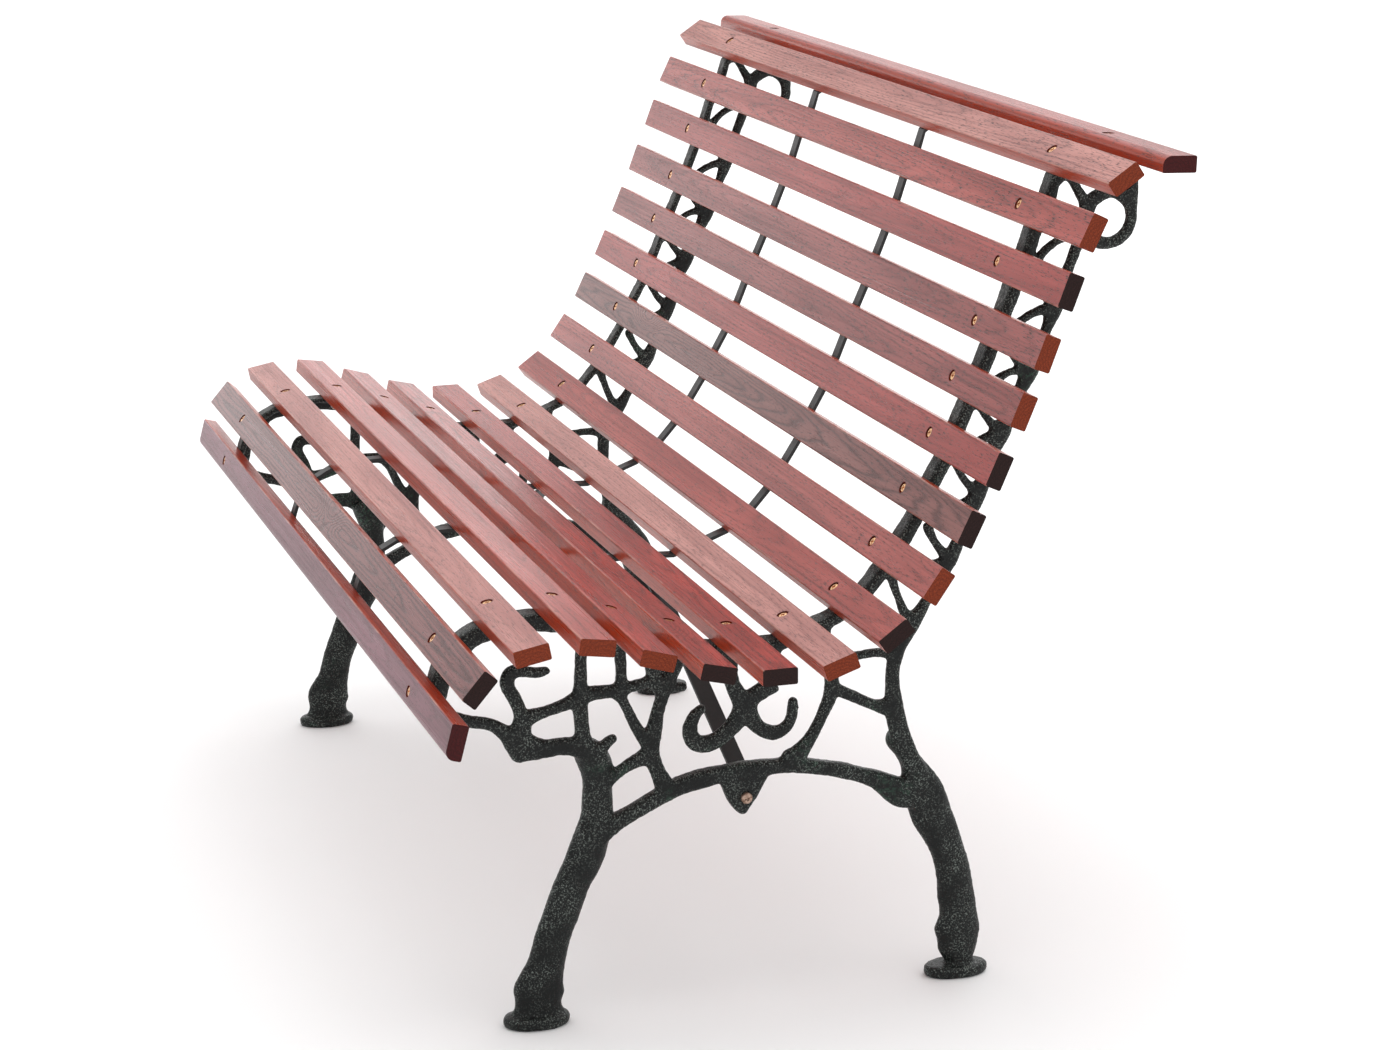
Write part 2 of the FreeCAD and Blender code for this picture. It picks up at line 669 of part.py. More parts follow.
def hexagon_nut(across_flats, height, bore):
    """A nut down from Z = 0."""
    corner = across_flats / math.sqrt(3)
    points = []
    for index in range(6):
        turn = math.radians(60 * index)
        points.append(V(corner * math.cos(turn), corner * math.sin(turn), -height))
    blank = polygon_face(points).extrude(V(0, 0, height))
    return blank.cut(Part.makeCylinder(bore / 2, height + 2, V(0, 0, -height - 1)))


def washer(diameter, thickness, bore):
    """A washer down from Z = 0."""
    disc = Part.makeCylinder(diameter / 2, thickness, V(0, 0, -thickness))
    return disc.cut(Part.makeCylinder(bore / 2, thickness + 2, V(0, 0, -thickness - 1)))


def countersunk_screw(diameter, length, head_diameter, head_height):
    """A pointed wood screw up the +Z axis, with the wide face of its head on Z = 0."""
    head = Part.makeCone(head_diameter / 2, diameter / 2, head_height)
    point = diameter
    shank = Part.makeCylinder(diameter / 2, length - point)
    tip = Part.makeCone(diameter / 2, 0.2, point, V(0, 0, length - point))
    recess = cross_recess(0)
    recess.rotate(V(0, 0, 0), V(1, 0, 0), 180)
    return head.multiFuse([shank, tip]).cut(recess)


def at_slat(shape, name, line, depth):
    """A copy on one slat: its +Z along the slat's outward normal, at a depth below the face."""
    middle, along, outward = slat_axes(name)
    copy = shape.copy()
    turn = FreeCAD.Rotation(V(1, 0, 0), dim(f"{name}_tilt"))
    place = middle - outward * depth + V(line, 0, 0)
    copy.Placement = FreeCAD.Placement(place, turn)
    return copy


def one_per_slat(label, shape, line, depth):
    """The same fastener on every slat, on the right and on the left."""
    for side, sign in (("right", 1), ("left", -1)):
        copies = [at_slat(shape, name, sign * line, depth) for name in SLAT_NAMES]
        keep(f"{label}_{side}", Part.makeCompound(copies))


head_seat = dim("counterbore_depth")
nut_face = dim("slat_thickness") + dim("rail_thickness") + dim("washer_thickness")
bolt_length = nut_face + dim("nut_height") + dim("bolt_end_past_nut") - head_seat
one_per_slat("slat_bolts",
             bolt(dim("bolt_diameter"), bolt_length, dim("bolt_head_diameter"), dim("bolt_head_height")),
             dim("bolt_line"), head_seat)
one_per_slat("slat_washers",
             washer(dim("washer_diameter"), dim("washer_thickness"), dim("bolt_hole")),
             dim("bolt_line"), nut_face - dim("washer_thickness"))
one_per_slat("slat_nuts",
             hexagon_nut(dim("nut_across_flats"), dim("nut_height"), dim("bolt_diameter")),
             dim("bolt_line"), nut_face)
one_per_slat("strap_screws",
             countersunk_screw(dim("wood_screw_diameter"), dim("wood_screw_length"),
                               dim("wood_screw_head_diameter"), dim("wood_screw_head_height")),
             dim("strap_line"), dim("slat_thickness") + dim("strap_thickness"))


def both_sides(label, shape):
    """A pair: one solid on the right and its mirror image on the left."""
    keep(label, Part.makeCompound([shape, mirrored(shape)]))


def along_x(shape, x, y, z, towards):
    """A copy whose +Z axis is turned to point along +X or -X."""
    copy = shape.copy()
    copy.Placement = FreeCAD.Placement(V(x, y, z), FreeCAD.Rotation(V(0, 1, 0), 90 * towards))
    return copy


lug_x, lug_y, lug_z = dim("bolt_line") + dim("web_outer"), dim("lug_bolt_y"), dim("lug_bolt_z")
grip = ARCH_THICKNESS + dim("brace_thickness")
lug_bolt = bolt(dim("lug_bolt_diameter"), grip + dim("lug_nut_height") + 2,
                dim("lug_bolt_head_diameter"), dim("lug_bolt_head_height"))
both_sides("lug_bolts", along_x(lug_bolt, lug_x, lug_y, lug_z, 1))
lug_nut = hexagon_nut(dim("lug_nut_across_flats"), dim("lug_nut_height"), dim("lug_bolt_diameter"))
both_sides("lug_nuts", along_x(lug_nut, lug_x - grip, lug_y, lug_z, 1))


def standing(shape, x, y, z):
    copy = shape.copy()
    copy.translate(V(x, y, z))
    return copy


brace_screw_length = dim("strap_thickness") + dim("brace_thickness") + dim("nut_height") + 2
screw_head = Part.makeCone(3, 6, 3, V(0, 0, -3))
screw_shank = Part.makeCylinder(3, brace_screw_length, V(0, 0, -brace_screw_length))
brace_screw = screw_head.fuse(screw_shank).cut(cross_recess(0))
both_sides("brace_screws", standing(brace_screw, dim("strap_line"), lug_y, strap_top_z()))
brace_nut = hexagon_nut(dim("nut_across_flats"), dim("nut_height"), dim("bolt_diameter"))
nut_top = brace_top_z() - dim("brace_thickness")
both_sides("brace_nuts", standing(brace_nut, dim("strap_line"), lug_y, nut_top))

# ---------------------------------------------------------------- check and write

doc.recompute()
for feature in doc.Objects:
    if "Invalid" in feature.State or "Error" in feature.State:
        raise RuntimeError(f"{feature.Label}: {feature.State}")
for node in nodes:
    if node.Shape.isNull() or not node.Shape.isValid() or node.Shape.Volume <= 0:
        raise RuntimeError(f"{node.Label} has no valid shape")

os.makedirs("parts", exist_ok=True)
for node in nodes:
    node.Shape.exportStep(f"parts/{node.Label}.step")
    box = node.Shape.BoundBox
    print(f"{node.Label:20s} solids {len(node.Shape.Solids):3d}  volume {node.Shape.Volume / 1000:9.1f} cm3"
          f"  Z {box.ZMin:7.1f} .. {box.ZMax:7.1f}")
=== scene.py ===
import math

import bpy
from mathutils import Matrix, Vector


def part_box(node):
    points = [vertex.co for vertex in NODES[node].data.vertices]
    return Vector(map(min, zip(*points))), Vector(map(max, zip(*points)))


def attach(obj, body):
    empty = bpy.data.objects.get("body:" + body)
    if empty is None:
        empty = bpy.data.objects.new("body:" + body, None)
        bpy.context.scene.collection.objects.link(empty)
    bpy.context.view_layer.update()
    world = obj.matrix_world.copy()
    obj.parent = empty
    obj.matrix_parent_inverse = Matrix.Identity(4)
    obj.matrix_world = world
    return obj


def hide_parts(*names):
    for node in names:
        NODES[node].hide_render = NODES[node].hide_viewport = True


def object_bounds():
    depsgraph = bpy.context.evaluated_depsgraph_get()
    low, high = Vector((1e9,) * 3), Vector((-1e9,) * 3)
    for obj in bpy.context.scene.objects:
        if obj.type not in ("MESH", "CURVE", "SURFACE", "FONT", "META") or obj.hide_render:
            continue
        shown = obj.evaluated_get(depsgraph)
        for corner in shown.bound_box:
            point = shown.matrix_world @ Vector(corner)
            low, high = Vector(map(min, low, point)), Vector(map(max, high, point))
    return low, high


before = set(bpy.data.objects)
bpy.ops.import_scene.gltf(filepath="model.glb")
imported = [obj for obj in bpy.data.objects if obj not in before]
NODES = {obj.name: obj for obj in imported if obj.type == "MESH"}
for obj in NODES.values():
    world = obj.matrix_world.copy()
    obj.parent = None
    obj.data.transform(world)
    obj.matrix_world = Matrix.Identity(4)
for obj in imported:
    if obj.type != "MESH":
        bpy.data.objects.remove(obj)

# Looks of the garden bench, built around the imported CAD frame. Metres; -Y is the front, +Z is up.

CAD_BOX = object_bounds()

# ---------------------------------------------------------------- node-tree helpers

# sockets of the Mix node that carry colours
MIX_FACTOR, MIX_FIRST_COLOUR, MIX_SECOND_COLOUR, MIX_COLOUR_RESULT = 0, 6, 7, 2


class Tree:
    """Short calls for building a material's node tree."""

    def __init__(self, name):
        self.material = bpy.data.materials.new(name)
        self.material.use_nodes = True
        self.nodes = self.material.node_tree.nodes
        self.links = self.material.node_tree.links
        self.shader = self.nodes["Principled BSDF"]

    def add(self, kind, **settings):
        node = self.nodes.new("ShaderNode" + kind)
        for key, value in settings.items():
            setattr(node, key, value)
        return node

    def put(self, value, socket):
        """Sets a socket to a number or colour, or links another node's output to it."""
        if isinstance(value, bpy.types.NodeSocket):
            self.links.new(value, socket)
        else:
            socket.default_value = value

    def math(self, operation, *values, clamp=False):
        node = self.add("Math", operation=operation, use_clamp=clamp)
        for value, socket in zip(values, node.inputs):
            self.put(value, socket)
        return node.outputs[0]

    def vector_math(self, operation, *values):
        node = self.add("VectorMath", operation=operation)
        for value, socket in zip(values, node.inputs):
            self.put(value, socket)
        return node.outputs["Value"] if operation in ("DOT_PRODUCT", "LENGTH") else node.outputs[0]

    def ramp(self, value, low, high):
        """0 at low, 1 at high, smooth between."""
        node = self.add("MapRange", interpolation_type="SMOOTHSTEP")
        for amount, key in ((value, "Value"), (low, "From Min"), (high, "From Max")):
            self.put(amount, node.inputs[key])
        return node.outputs[0]

    def noise(self, place, scale, detail, roughness):
        """Fractal noise from 0 to 1; the scale is in cells per metre."""
        node = self.add("TexNoise")
        self.put(place, node.inputs["Vector"])
        for key, amount in (("Scale", scale), ("Detail", detail), ("Roughness", roughness)):
            node.inputs[key].default_value = amount
        return node.outputs[0]

    def stretch(self, place, scale, shift=(0, 0, 0)):
        """The place scaled along each axis, then shifted."""
        node = self.add("Mapping")
        self.put(place, node.inputs["Vector"])
        node.inputs["Scale"].default_value = scale
        node.inputs["Location"].default_value = shift
        return node.outputs[0]

    def mix(self, amount, first, second, blend="MIX"):
        """First colour at 0, second at 1."""
        node = self.add("Mix", data_type="RGBA", blend_type=blend)
        self.put(amount, node.inputs[MIX_FACTOR])
        self.put(first, node.inputs[MIX_FIRST_COLOUR])
        self.put(second, node.inputs[MIX_SECOND_COLOUR])
        return node.outputs[MIX_COLOUR_RESULT]

    def multiply(self, colour, factor):
        return self.mix(1.0, colour, factor, "MULTIPLY")

    def pair(self, first, second):
        """A vector with the two values as X and Y."""
        node = self.add("CombineXYZ")
        self.put(first, node.inputs[0])
        self.put(second, node.inputs[1])
        return node.outputs[0]

    def bump(self, height, strength, distance):
        node = self.add("Bump")
        node.inputs["Strength"].default_value = strength
        node.inputs["Distance"].default_value = distance
        self.put(height, node.inputs["Height"])
        self.put(node.outputs[0], self.shader.inputs["Normal"])

    def surface(self, colour, roughness, metallic=0.0, specular=0.5):
        self.put(colour, self.shader.inputs["Base Color"])
        self.put(roughness, self.shader.inputs["Roughness"])
        self.shader.inputs["Metallic"].default_value = metallic
        self.shader.inputs["Specular IOR Level"].default_value = specular

    def object_place(self):
        return self.add("TexCoord").outputs["Object"]


def rgb(red, green, blue):
    return (red, green, blue, 1.0)


# ---------------------------------------------------------------- timber

SLATS = (["front_apron_slat", "front_edge_slat"] + [f"seat_slat_{n}" for n in range(1, 8)]
         + [f"back_slat_{n}" for n in range(1, 8)] + ["top_front_slat", "top_rear_slat"])
HALF_WIDTH = 0.019
BOLT_X = 0.566
# painted shade in the screw holes: distance from the bolt's centre where it starts and where it is full
HOLE_SHADE_OUTER, HOLE_SHADE_FULL = 0.0080, 0.0066
RING_SPACING = 0.0036
RING_WANDER = 0.022
KNOT_RADIUS, KNOT_SWELL, KNOT_STRETCH = 0.026, 0.022, 0.32
# worn edges with painted highlight: distance in from the long edge, and down from the outer face, where
# they start and are full
EDGE_WEAR_HIGHLIGHT_START, EDGE_WEAR_HIGHLIGHT_FULL = 0.0024, 0.0006
TOP_WEAR_HIGHLIGHT_START, TOP_WEAR_HIGHLIGHT_FULL = 0.0022, 0.0004
# radians that the heart's place turns by from one slat to the next, so that no two look alike
TURN_PER_SLAT = 2.4

PLUM = rgb(0.150, 0.034, 0.052)
MAUVE = rgb(0.155, 0.046, 0.044)
UMBER = rgb(0.185, 0.058, 0.050)
ROSE = rgb(0.350, 0.125, 0.108)
PALE_ROSE = rgb(0.400, 0.150, 0.128)
CARMINE = rgb(0.285, 0.026, 0.018)
RUSSET = rgb(0.320, 0.060, 0.050)
BRICK = rgb(0.300, 0.042, 0.036)
DUSK = rgb(0.245, 0.050, 0.045)
PORE = rgb(0.045, 0.008, 0.006)
SIDE = rgb(0.430, 0.046, 0.010)
ORANGE_END = rgb(0.270, 0.042, 0.012)
DARK_END = rgb(0.024, 0.007, 0.006)
WINE_END = rgb(0.070, 0.006, 0.007)
# pale edge colour: wear and painted highlight
WORN_EDGE_HIGHLIGHT = rgb(0.50, 0.28, 0.22)
# painted shade inside the screw holes
HOLE_SHADE = rgb(0.10, 0.010, 0.005)
# factors that a colour is multiplied by
DARKEN = rgb(0.40, 0.32, 0.32)
LIGHTEN = rgb(1.30, 1.50, 1.50)
DARKEN_END = rgb(0.45, 0.4, 0.4)

# Each slat's own timber: face colour, end colour, how strongly the rings and the pores show.
TIMBER = {
    "front_apron_slat": (PLUM, WINE_END, 0.30, 0.5),
    "front_edge_slat": (MAUVE, DARK_END, 1.0, 0.95),
    "seat_slat_1": (ROSE, ORANGE_END, 0.20, 0.5),
    "seat_slat_2": (RUSSET, ORANGE_END, 0.35, 0.6),
    "seat_slat_3": (CARMINE, ORANGE_END, 0.45, 0.8),
    "seat_slat_4": (CARMINE, DARK_END, 0.60, 0.9),
    "seat_slat_5": (CARMINE, DARK_END, 0.55, 0.8),
    "seat_slat_6": (PALE_ROSE, ORANGE_END, 0.25, 0.5),
    "seat_slat_7": (RUSSET, DARK_END, 0.30, 0.6),
    "back_slat_1": (RUSSET, ORANGE_END, 0.35, 0.7),
    "back_slat_2": (UMBER, DARK_END, 0.95, 0.8),
    "back_slat_3": (BRICK, DARK_END, 0.35, 0.7),
    "back_slat_4": (DUSK, ORANGE_END, 0.50, 0.8),
    "back_slat_5": (DUSK, ORANGE_END, 0.40, 0.9),
    "back_slat_6": (BRICK, DARK_END, 0.30, 0.7),
    "back_slat_7": (RUSSET, ORANGE_END, 0.40, 0.9),
    "top_front_slat": (PALE_ROSE, ORANGE_END, 0.45, 0.8),
    "top_rear_slat": (RUSSET, WINE_END, 0.45, 0.9),
}
# Knots: distance along the slat and across it.
KNOTS = {"front_edge_slat": (0.02, 0.004), "seat_slat_4": (0.58, -0.006), "back_slat_2": (-0.42, 0.010)}

# the search for a slat's tilt, in degrees, and how near the slat's end a vertex belongs to the end face
LOWEST_TILT, HIGHEST_TILT, TILT_STEP = -10, 90, 0.5
END_DEPTH = 1e-4


def slat_pose(slat):
    """Tilt about X and middle of the outer face, from the smallest rectangle round the slat's end."""
    _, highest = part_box(slat.name)
    end = [(v.co.y, v.co.z) for v in slat.data.vertices if v.co.x > highest[0] - END_DEPTH]
    best = None
    for step in range(int(LOWEST_TILT / TILT_STEP), int(HIGHEST_TILT / TILT_STEP) + 1):
        tilt = math.radians(step * TILT_STEP)
        along = [y * math.cos(tilt) + z * math.sin(tilt) for y, z in end]
        outward = [z * math.cos(tilt) - y * math.sin(tilt) for y, z in end]
        wide, deep = max(along) - min(along), max(outward) - min(outward)
        if wide > deep and (best is None or wide * deep < best[0]):
            best = (wide * deep, tilt, (max(along) + min(along)) / 2, max(outward))
    _, tilt, middle, face = best
    centre = Vector((0.0, middle * math.cos(tilt) - face * math.sin(tilt),
                     middle * math.sin(tilt) + face * math.cos(tilt)))
    return tilt, centre


def slat_space(tree, tilt, centre):
    """Places measured from the middle of the slat's outer face: along, across and above it."""
    place = tree.add("Mapping", vector_type="TEXTURE")
    tree.put(tree.object_place(), place.inputs["Vector"])
    place.inputs["Location"].default_value = centre
    place.inputs["Rotation"].default_value = (tilt, 0, 0)
    axes = tree.add("SeparateXYZ")
    tree.put(place.outputs[0], axes.inputs[0])
    return place.outputs[0], axes.outputs


def late_wood_lines(tree, slat_name, number, local, axes):
    """Rings: the tree's heart runs at a slant through the slat, which draws arches on its faces."""
    along, across, above = axes
    turn = number * TURN_PER_SLAT
    slant = 0.030 + 0.012 * math.sin(turn)
    heart_across, heart_above = 0.008 * math.cos(turn), 0.014 * math.sin(turn * 1.3) + 0.004
    wander = tree.noise(tree.stretch(local, (2.2, 22, 22), (number * 3.1, 0, 0)), 1.0, 3.0, 0.55)
    depth = tree.math("MULTIPLY_ADD", along, slant, tree.math("ADD", above, heart_above))
    from_heart = tree.vector_math("LENGTH", tree.pair(tree.math("ADD", across, heart_across), depth))
    radius = tree.math("MULTIPLY_ADD", wander, RING_WANDER, from_heart)
    if slat_name in KNOTS:
        knot_along, knot_across = KNOTS[slat_name]
        knot = tree.stretch(local, (KNOT_STRETCH, 1, 1), (-KNOT_STRETCH * knot_along, -knot_across, 0))
        swell = tree.ramp(tree.vector_math("LENGTH", knot), KNOT_RADIUS, 0.0)
        radius = tree.math("MULTIPLY_ADD", swell, KNOT_SWELL, radius)
    rings = tree.math("SINE", tree.math("MULTIPLY", radius, 2 * math.pi / RING_SPACING))
    return tree.math("POWER", tree.math("MULTIPLY_ADD", rings, 0.5, 0.5), 3.0)


def timber(slat, number):
    """Stained hardwood: rings, long streaks, dark pores, orange sides, end grain, worn edges with painted
    highlight, painted shade in the screw holes.
    """
    face_colour, end_colour, ring_strength, pore_strength = TIMBER[slat.name]
    tilt, centre = slat_pose(slat)
    tree = Tree(f"timber_{slat.name}")
    local, axes = slat_space(tree, tilt, centre)
    along, across, above = axes
    late_wood = late_wood_lines(tree, slat.name, number, local, axes)

    def grain(cells, shift, detail, roughness):
        """Noise with its own number of cells per metre along, across and through the slat."""
        return tree.noise(tree.stretch(local, cells, shift), 1.0, detail, roughness)

    # long streaks, broad cloud and short dark pores, denser along the rings
    streaks = grain((2.2, 260, 260), (number * 1.7, number, 0), 4.0, 0.6)
    cloud = grain((3.0, 30, 30), (number * 5.3, 0, number), 3.0, 0.5)
    pore_field = grain((85, 900, 900), (number, number * 2.0, 0), 1.0, 0.5)
    patch = grain((9, 60, 60), (0, number, number), 2.0, 0.5)
    pore_edge = tree.math("MULTIPLY_ADD", patch, -0.18, 0.71)
    pore_edge = tree.math("MULTIPLY_ADD", late_wood, -0.07, pore_edge)
    pores = tree.ramp(pore_field, pore_edge, tree.math("ADD", pore_edge, 0.035))

    dark = tree.multiply(face_colour, DARKEN)
    light = tree.multiply(face_colour, LIGHTEN)
    colour = tree.mix(tree.ramp(cloud, 0.30, 0.70), tree.mix(0.18, face_colour, dark), light)
    colour = tree.mix(tree.math("MULTIPLY", tree.ramp(streaks, 0.48, 0.72), 0.55), colour, dark)
    colour = tree.mix(tree.math("MULTIPLY", late_wood, ring_strength * 0.82), colour, dark)
    colour = tree.mix(tree.math("MULTIPLY", pores, pore_strength), colour, PORE)

    # the narrow sides keep their orange stain; the ends show end grain
    normal = tree.add("NewGeometry").outputs["True Normal"]
    outward = (0.0, -math.sin(tilt), math.cos(tilt))
    facing = tree.math("ABSOLUTE", tree.vector_math("DOT_PRODUCT", normal, outward))
    side_tint = tree.mix(tree.ramp(streaks, 0.35, 0.70), SIDE, tree.mix(0.5, SIDE, dark))
    side_tint = tree.mix(tree.math("MULTIPLY", pores, pore_strength * 0.6), side_tint, PORE)
    colour = tree.mix(tree.ramp(facing, 0.55, 0.90), tree.mix(0.88, colour, side_tint), colour)

    lengthwise = tree.math("ABSOLUTE", tree.vector_math("DOT_PRODUCT", normal, (1.0, 0.0, 0.0)))
    end_mask = tree.ramp(lengthwise, 0.6, 0.8)
    speckle = grain((60, 700, 700), (0, 0, 0), 3.0, 0.7)
    end_dark = tree.multiply(end_colour, DARKEN_END)
    end_tint = tree.mix(tree.ramp(speckle, 0.35, 0.65), end_dark, end_colour)
    end_tint = tree.mix(tree.math("MULTIPLY", late_wood, 0.55), end_tint, end_dark)
    colour = tree.mix(end_mask, colour, end_tint)

    # worn edges with painted highlight along the outer face, broken up by noise
    rub = grain((14, 40, 40), (number * 2.9, 0, 0), 4.0, 0.65)
    near_edge = tree.ramp(tree.math("ABSOLUTE", across), HALF_WIDTH - EDGE_WEAR_HIGHLIGHT_START,
                          HALF_WIDTH - EDGE_WEAR_HIGHLIGHT_FULL)
    near_top = tree.ramp(above, -TOP_WEAR_HIGHLIGHT_START, -TOP_WEAR_HIGHLIGHT_FULL)
    wear_and_highlight = tree.math("MULTIPLY", tree.math("MULTIPLY", near_edge, near_top), tree.ramp(rub, 0.44, 0.66))
    colour = tree.mix(tree.math("MULTIPLY", wear_and_highlight, 0.55), colour, WORN_EDGE_HIGHLIGHT)

    # painted shade round and inside the screw holes' counterbores
    from_bolt = tree.math("SUBTRACT", tree.math("ABSOLUTE", along), BOLT_X)
    from_hole = tree.vector_math("LENGTH", tree.pair(from_bolt, across))
    hole_shade = tree.ramp(from_hole, HOLE_SHADE_OUTER, HOLE_SHADE_FULL)
    colour = tree.mix(tree.math("MULTIPLY", hole_shade, 0.8), colour, HOLE_SHADE)

    gloss = tree.math("MULTIPLY_ADD", streaks, 0.20, 0.20)
    tree.surface(colour, tree.math("MULTIPLY_ADD", end_mask, 0.30, gloss), specular=0.20)
    relief = tree.math("MULTIPLY_ADD", streaks, 0.5, tree.math("MULTIPLY", pores, -1.0))
    relief = tree.math("MULTIPLY_ADD", late_wood, -0.3, relief)
    tree.bump(relief, 0.45, 0.0005)
    return tree.material


# ---------------------------------------------------------------- metals

CAST_DARK = rgb(0.0018, 0.0024, 0.0024)
CAST_PALE = rgb(0.0060, 0.0075, 0.0070)
# pale flecks, crowded on tops and ridges as painted highlight
CAST_FLECK_HIGHLIGHT = rgb(0.180, 0.205, 0.185)
CAST_PATINA = rgb(0.050, 0.125, 0.080)
CAST_PIT = rgb(0.0015, 0.0020, 0.0020)
SCUFF = rgb(0.16, 0.165, 0.16)
# painted highlight: pale flecks gather on surfaces that face up and a little to the front, where the light
# falls
LIT_SIDE = (0.0, -0.35, 0.94)


def casting_paint():
    """Rough black-green paint on cast iron: pale flecks, crowded on tops and ridges as painted highlight,
    green patina in places.
    """
    tree = Tree("casting")
    place = tree.object_place()
    geometry = tree.add("NewGeometry")
    lit_facing = tree.vector_math("DOT_PRODUCT", geometry.outputs["Normal"], LIT_SIDE)
    fleck = tree.noise(place, 540.0, 3.0, 0.65)
    grain = tree.noise(place, 210.0, 4.0, 0.65)
    cloud = tree.noise(place, 22.0, 3.0, 0.55)
    patina_cloud = tree.noise(place, 7.5, 4.0, 0.6)
    colour = tree.mix(cloud, CAST_DARK, CAST_PALE)
    # painted highlight: surfaces facing up and a little to the front, and the ridges, get more pale flecks
    fleck_and_highlight_amount = tree.math("MULTIPLY_ADD", tree.ramp(lit_facing, -0.1, 0.9), 0.5, tree.ramp(cloud, 0.35, 0.70))
    ridge_highlight = tree.ramp(geometry.outputs["Pointiness"], 0.502, 0.535)
    fleck_and_highlight_amount = tree.math("ADD", fleck_and_highlight_amount, tree.math("MULTIPLY", ridge_highlight, 0.5), clamp=True)
    fleck_highlight_mask = tree.math("MULTIPLY", tree.ramp(fleck, 0.52, 0.63), fleck_and_highlight_amount)
    colour = tree.mix(tree.math("MULTIPLY", fleck_highlight_mask, 0.85), colour, CAST_FLECK_HIGHLIGHT)
    patina = tree.math("MULTIPLY", tree.ramp(patina_cloud, 0.56, 0.72), tree.ramp(grain, 0.46, 0.62))
    colour = tree.mix(tree.math("MULTIPLY", patina, 0.45), colour, CAST_PATINA)
    pits = tree.ramp(grain, 0.46, 0.32)
    colour = tree.mix(tree.math("MULTIPLY", pits, 0.7), colour, CAST_PIT)
    tree.surface(colour, tree.math("MULTIPLY_ADD", grain, 0.35, 0.25), specular=0.24)
    tree.bump(tree.math("MULTIPLY_ADD", fleck, 0.5, grain), 0.75, 0.0013)
    return tree.material


def bar_paint(name, low, high, roughness):
    """Satin paint on rolled bar: faint cloud, fine orange peel, a few scuffs."""
    tree = Tree(name)
    place = tree.object_place()
    cloud = tree.noise(place, 30.0, 3.0, 0.5)
    peel = tree.noise(place, 900.0, 2.0, 0.5)
    scuff = tree.noise(place, 130.0, 5.0, 0.75)
    colour = tree.mix(cloud, low, high)
    mark = tree.ramp(scuff, 0.66, 0.76)
    colour = tree.mix(tree.math("MULTIPLY", mark, 0.25), colour, SCUFF)
    tree.surface(colour, tree.math("MULTIPLY_ADD", scuff, 0.25, roughness), specular=0.28)
    tree.bump(peel, 0.12, 0.0004)
    return tree.material


def plated(name, bright, tarnish, roughness):
    """Plated steel or brass: bright metal with darker tarnish in patches and fine scratches."""
    tree = Tree(name)
    place = tree.object_place()
    cloud = tree.noise(place, 260.0, 3.0, 0.6)
    scratch = tree.noise(place, 2200.0, 2.0, 0.6)
    colour = tree.mix(tree.ramp(cloud, 0.38, 0.68), bright, tarnish)
    tree.surface(colour, tree.math("MULTIPLY_ADD", cloud, 0.25, roughness), metallic=0.85)
    tree.bump(scratch, 0.10, 0.0002)
    return tree.material


def assign(obj, material):
    obj.data.materials.clear()
    obj.data.materials.append(material)


CASTING = casting_paint()
STRAP_PAINT = bar_paint("strap_paint", rgb(0.022, 0.023, 0.024), rgb(0.040, 0.042, 0.042), 0.32)
BRACE_PAINT = bar_paint("brace_paint", rgb(0.004, 0.004, 0.004), rgb(0.009, 0.009, 0.009), 0.40)
COPPERY = plated("coppery_brass", rgb(0.95, 0.58, 0.30), rgb(0.55, 0.24, 0.10), 0.16)
LUG_METAL = plated("dull_coppery", rgb(0.46, 0.32, 0.25), rgb(0.17, 0.10, 0.07), 0.24)
ZINC = plated("zinc_plate", rgb(0.56, 0.57, 0.58), rgb(0.30, 0.30, 0.30), 0.30)

# ---------------------------------------------------------------- castings with rounded members

VOXEL = 0.0019
ROUNDING_PASSES = 18
# smoothing shrinks the members a little, so the skin is pushed out again before it is roughened
SWELL = 0.0008
DRIFT_DEPTH = 0.0018
SAND_DEPTH = 0.0010


def cloud_texture(name, size, depth):
    texture = bpy.data.textures.new(name, "CLOUDS")
    texture.noise_scale = size
    texture.noise_depth = depth
    return texture


SAND = cloud_texture("sand", 0.0055, 2)
DRIFT = cloud_texture("drift", 0.030, 1)


def rounded_casting(node_name):
    """The frame's own solid, re-skinned: arrises rounded, branches softened, sand-cast surface."""
    source = NODES[node_name]
    piece = bpy.data.objects.new(f"{node_name}_cast", source.data.copy())
    bpy.context.scene.collection.objects.link(piece)
    remesh = piece.modifiers.new("skin", "REMESH")
    remesh.mode = "VOXEL"
    remesh.voxel_size = VOXEL
    soften = piece.modifiers.new("soften", "SMOOTH")
    soften.factor = 0.5
    soften.iterations = ROUNDING_PASSES
    swell = piece.modifiers.new("swell", "DISPLACE")
    swell.strength = SWELL
    swell.mid_level = 0.0
    for texture, strength in ((DRIFT, DRIFT_DEPTH), (SAND, SAND_DEPTH)):
        cast = piece.modifiers.new(texture.name, "DISPLACE")
        cast.texture = texture
        cast.texture_coords = "GLOBAL"
        cast.strength = strength
        cast.mid_level = 0.5
    bpy.context.view_layer.update()
    evaluated = piece.evaluated_get(bpy.context.evaluated_depsgraph_get())
    mesh = bpy.data.meshes.new_from_object(evaluated)
    mesh.name = piece.name
    # the feet stay on the ground
    for vertex in mesh.vertices:
        vertex.co.z = max(vertex.co.z, 0.0)
    piece.modifiers.clear()
    piece.data = mesh
    mesh.shade_smooth()
    assign(piece, CASTING)
    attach(piece, "root")
    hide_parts(node_name)


for side in ("right", "left"):
    rounded_casting(f"side_frame_{side}")

# ---------------------------------------------------------------- materials on the CAD nodes

for number, name in enumerate(SLATS, start=1):
    assign(NODES[name], timber(NODES[name], number))

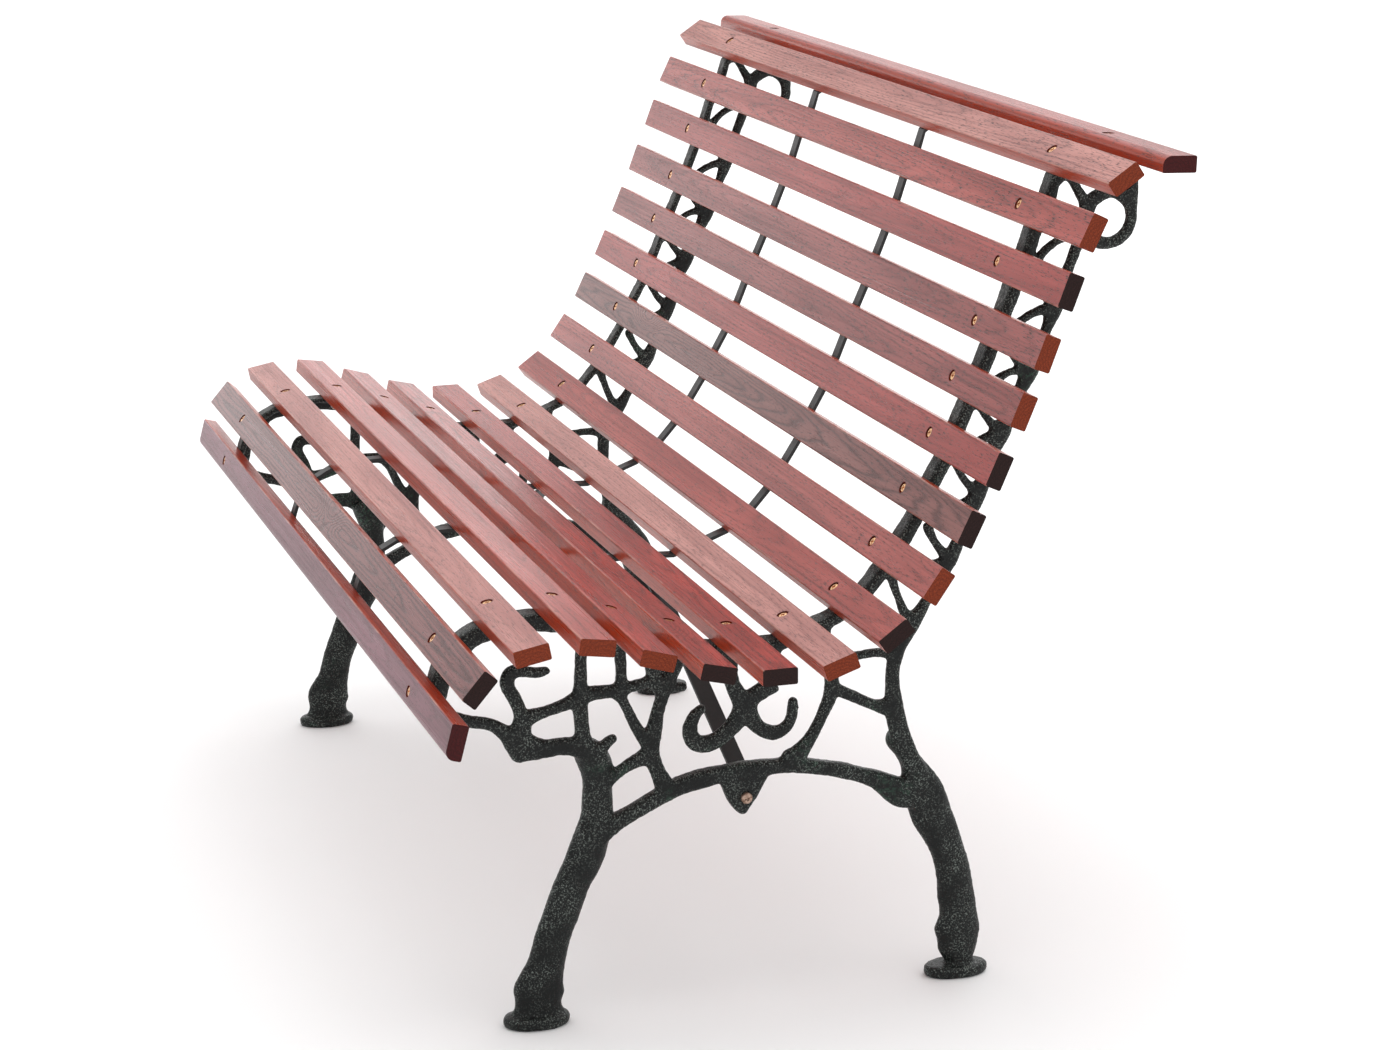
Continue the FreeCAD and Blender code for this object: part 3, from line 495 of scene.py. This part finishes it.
for side in ("right", "left"):
    assign(NODES[f"slat_strap_{side}"], STRAP_PAINT)
    assign(NODES[f"brace_{side}"], BRACE_PAINT)
    assign(NODES[f"slat_bolts_{side}"], COPPERY)
    for plain in ("slat_washers", "slat_nuts", "strap_screws"):
        assign(NODES[f"{plain}_{side}"], ZINC)
assign(NODES["lug_bolts"], LUG_METAL)
for plain in ("lug_nuts", "brace_screws", "brace_nuts"):
    assign(NODES[plain], ZINC)

# ---------------------------------------------------------------- studio

FLOOR_HALF = 40.0
WORLD_STRENGTH = 0.72
SUN_ENERGY, SUN_SPREAD = 2.3, math.radians(95)
# each softbox: name, place, width, height and power in watts
SOFTBOXES = (("seat_sheen", (-5.6, 1.9, 1.0), 4.5, 1.4, 28),
             ("back_sheen", (-6.0, -1.3, 1.0), 1.8, 2.0, 18))

floor_mesh = bpy.data.meshes.new("floor")
corners = [(-FLOOR_HALF, -FLOOR_HALF, 0), (FLOOR_HALF, -FLOOR_HALF, 0),
           (FLOOR_HALF, FLOOR_HALF, 0), (-FLOOR_HALF, FLOOR_HALF, 0)]
floor_mesh.from_pydata(corners, [], [(0, 1, 2, 3)])
floor = bpy.data.objects.new("floor", floor_mesh)
bpy.context.scene.collection.objects.link(floor)
pale = Tree("pale_floor")
tint = pale.noise(pale.object_place(), 1.5, 2.0, 0.5)
pale.surface(pale.mix(tint, rgb(0.86, 0.86, 0.86), rgb(0.89, 0.89, 0.89)), 0.9, specular=0.1)
assign(floor, pale.material)

world = bpy.data.worlds.new("studio")
world.use_nodes = True
backdrop = world.node_tree.nodes["Background"]
backdrop.inputs["Color"].default_value = rgb(1.0, 1.0, 1.0)
backdrop.inputs["Strength"].default_value = WORLD_STRENGTH
bpy.context.scene.world = world


def aim(lamp, place, target):
    lamp.location = place
    lamp.rotation_euler = (Vector(target) - Vector(place)).to_track_quat("-Z", "Y").to_euler()
    bpy.context.scene.collection.objects.link(lamp)


MIDDLE = (CAD_BOX[0] + CAD_BOX[1]) / 2

# one wide overhead light for the whole floor, from past the left end and a little behind
overhead = bpy.data.lights.new("overhead", "SUN")
overhead.energy = SUN_ENERGY
overhead.angle = SUN_SPREAD
aim(bpy.data.objects.new("overhead", overhead), (-1.4, 0.9, 4.8), MIDDLE)

# two low softboxes past the left end, far from the camera, give the slats their long sheen
for name, place, width, height, power in SOFTBOXES:
    softbox = bpy.data.lights.new(name, "AREA")
    softbox.shape = "RECTANGLE"
    softbox.size, softbox.size_y = width, height
    softbox.energy = power
    aim(bpy.data.objects.new(name, softbox), place, MIDDLE)

# ---------------------------------------------------------------- camera

CAMERA_PLACE = Vector((4.0088, -1.1482, 1.4495))
CAMERA_AZIMUTH, CAMERA_ELEVATION, CAMERA_ROLL = (math.radians(angle) for angle in (72.815, 14.155, -0.415))
SENSOR, LENS = 36.0, 89.67

backward = Vector((math.sin(CAMERA_AZIMUTH) * math.cos(CAMERA_ELEVATION),
                   -math.cos(CAMERA_AZIMUTH) * math.cos(CAMERA_ELEVATION),
                   math.sin(CAMERA_ELEVATION)))
camera_data = bpy.data.cameras.new("camera")
camera_data.sensor_width = SENSOR
camera_data.lens = LENS
camera = bpy.data.objects.new("camera", camera_data)
bpy.context.scene.collection.objects.link(camera)
level = (-backward).to_track_quat("-Z", "Y").to_matrix().to_4x4()
camera.matrix_world = Matrix.Translation(CAMERA_PLACE) @ level @ Matrix.Rotation(CAMERA_ROLL, 4, "Z")
bpy.context.scene.camera = camera

bpy.context.scene.view_settings.view_transform = "Standard"

# ---------------------------------------------------------------- end

bpy.context.view_layer.update()
